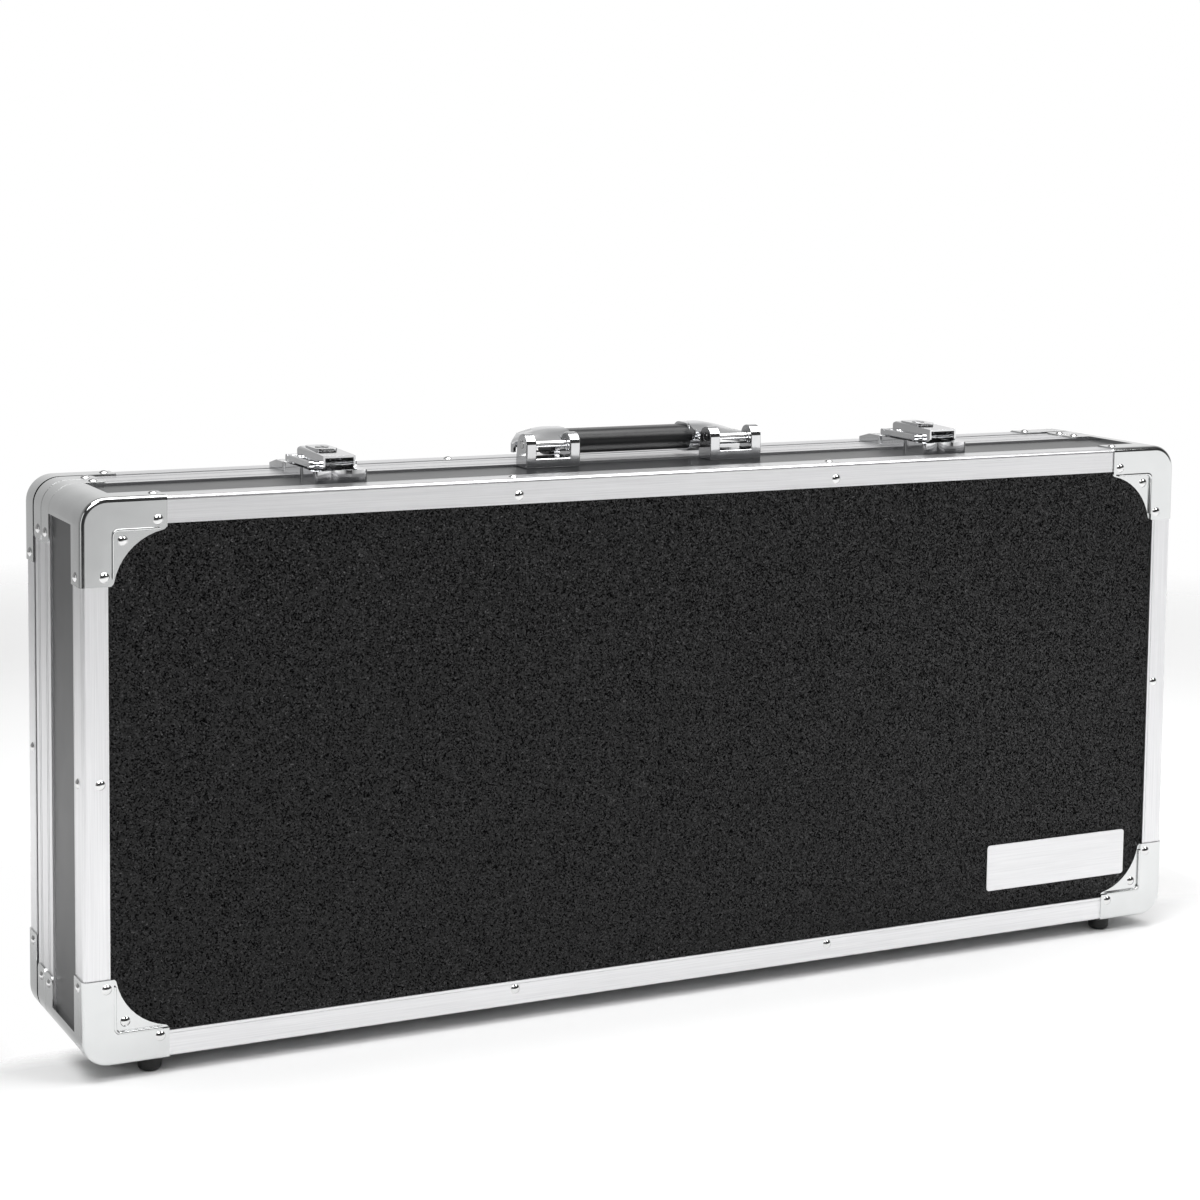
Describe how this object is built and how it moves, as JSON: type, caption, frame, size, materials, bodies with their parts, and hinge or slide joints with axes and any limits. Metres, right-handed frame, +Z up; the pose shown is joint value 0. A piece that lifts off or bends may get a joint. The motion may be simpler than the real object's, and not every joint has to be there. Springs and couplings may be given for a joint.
{
  "type": "guitar pedal case",
  "caption": "Hinged black case with aluminium rails, pressed corners, draw latches, a folding handle, foam-lined lid and loop-lined tray for a row of guitar pedals.",
  "frame": {"origin": "middle of the case in plan, on the plane its feet stand on", "axes": "+X along the case's length, +Y from the lid panel to the tray panel, +Z up to the handle"},
  "size_m": [0.7142, 0.1162, 0.3323],
  "materials": {
    "panel_laminate": "fine-grained black laminate",
    "wall_laminate": "black laminate, smooth and semi-gloss",
    "rail_aluminium": "satin anodised, drawn lengthwise",
    "corner_chrome": "bright plated pressed steel",
    "rivet_steel": "bright domed heads",
    "lining_fabric": "thin black cloth",
    "loop_fabric": "black loop pile",
    "foam_black": "open-cell convoluted foam",
    "label_metal": "plain satin plate, left bare",
    "bracket_chrome": "plated die casting",
    "pin_steel": "ground steel",
    "grip_plastic": "semi-matte black",
    "handle_chrome": "plated pressing",
    "latch_base_chrome": "plated die casting",
    "latch_chrome": "plated pressing",
    "lock_steel": "turned, with a key slot",
    "hinge_steel": "plated strip",
    "foot_rubber": "matte black"
  },
  "bodies": {
    "case_lid": {"lid_panel": "panel_laminate", "lid_wall_top": "wall_laminate", "lid_wall_right": "wall_laminate", "lid_wall_bottom": "wall_laminate", "lid_wall_left": "wall_laminate", "lid_edge_rail_top": "rail_aluminium", "lid_edge_rail_right": "rail_aluminium", "lid_edge_rail_bottom": "rail_aluminium", "lid_edge_rail_left": "rail_aluminium", "lid_closing_rail_top": "rail_aluminium", "lid_closing_rail_right": "rail_aluminium", "lid_closing_rail_bottom": "rail_aluminium", "lid_closing_rail_left": "rail_aluminium", "lid_corners": "corner_chrome", "lid_corner_clips": "corner_chrome", "lid_rivets": "rivet_steel", "lid_lining": "lining_fabric", "lid_feet": "foot_rubber", "egg_crate_foam": "foam_black", "label_plate": "label_metal", "handle_bracket_left": "bracket_chrome", "handle_bracket_right": "bracket_chrome", "handle_pins": "pin_steel", "latch_base_left": "latch_base_chrome", "latch_base_right": "latch_base_chrome", "latch_pivot_pins": "pin_steel", "hinge_lid_leaves": "hinge_steel", "hinge_pins": "pin_steel"},
    "tray": {"tray_panel": "panel_laminate", "tray_wall_top": "wall_laminate", "tray_wall_right": "wall_laminate", "tray_wall_bottom": "wall_laminate", "tray_wall_left": "wall_laminate", "tray_edge_rail_top": "rail_aluminium", "tray_edge_rail_right": "rail_aluminium", "tray_edge_rail_bottom": "rail_aluminium", "tray_edge_rail_left": "rail_aluminium", "tray_closing_rail_top": "rail_aluminium", "tray_closing_rail_right": "rail_aluminium", "tray_closing_rail_bottom": "rail_aluminium", "tray_closing_rail_left": "rail_aluminium", "tray_corners": "corner_chrome", "tray_corner_clips": "corner_chrome", "tray_rivets": "rivet_steel", "tray_lining": "loop_fabric", "tray_feet": "foot_rubber", "latch_catches": "latch_base_chrome", "hinge_tray_leaves": "hinge_steel"},
    "handle": {"handle_grip": "grip_plastic", "handle_end_left": "handle_chrome", "handle_end_right": "handle_chrome"},
    "lever_left": {"latch_lever_left": "latch_chrome", "latch_link_pin_left": "pin_steel"},
    "link_left": {"latch_link_left": "latch_chrome"},
    "lock_left": {"latch_lock_left": "lock_steel"},
    "lever_right": {"latch_lever_right": "latch_chrome", "latch_link_pin_right": "pin_steel"},
    "link_right": {"latch_link_right": "latch_chrome"},
    "lock_right": {"latch_lock_right": "lock_steel"}
  },
  "joints": [
    {"name": "tray_hinge", "type": "hinge", "parent": "case_lid", "child": "tray", "pos_m": [0, 0.0215, 0.0061], "axis": [-1, 0, 0], "range_deg": [0, 100]},
    {"name": "handle_swing", "type": "hinge", "parent": "case_lid", "child": "handle", "pos_m": [0, -0.0029, 0.3254], "axis": [1, 0, 0], "range_deg": [0, 170]},
    {"name": "lever_left_pivot", "type": "hinge", "parent": "case_lid", "child": "lever_left", "pos_m": [-0.2, 0.012, 0.321], "axis": [-1, 0, 0], "range_deg": [0, 90]},
    {"name": "link_left_pivot", "type": "hinge", "parent": "lever_left", "child": "link_left", "pos_m": [-0.2, -0.013, 0.3207], "axis": [-1, 0, 0], "range_deg": [-112.5, 0]},
    {"name": "lock_left_turn", "type": "hinge", "parent": "lever_left", "child": "lock_left", "pos_m": [-0.2, 0.003, 0.325], "axis": [0, 0, 1], "range_deg": [0, 90]},
    {"name": "lever_right_pivot", "type": "hinge", "parent": "case_lid", "child": "lever_right", "pos_m": [0.2, 0.012, 0.321], "axis": [-1, 0, 0], "range_deg": [0, 90]},
    {"name": "link_right_pivot", "type": "hinge", "parent": "lever_right", "child": "link_right", "pos_m": [0.2, -0.013, 0.3207], "axis": [-1, 0, 0], "range_deg": [-112.5, 0]},
    {"name": "lock_right_turn", "type": "hinge", "parent": "lever_right", "child": "lock_right", "pos_m": [0.2, 0.003, 0.325], "axis": [0, 0, 1], "range_deg": [0, 90]}
  ],
  "couplings": [
    {"joint": "link_left_pivot", "follows": "lever_left_pivot", "ratio": -1.25},
    {"joint": "link_right_pivot", "follows": "lever_right_pivot", "ratio": -1.25}
  ]
}
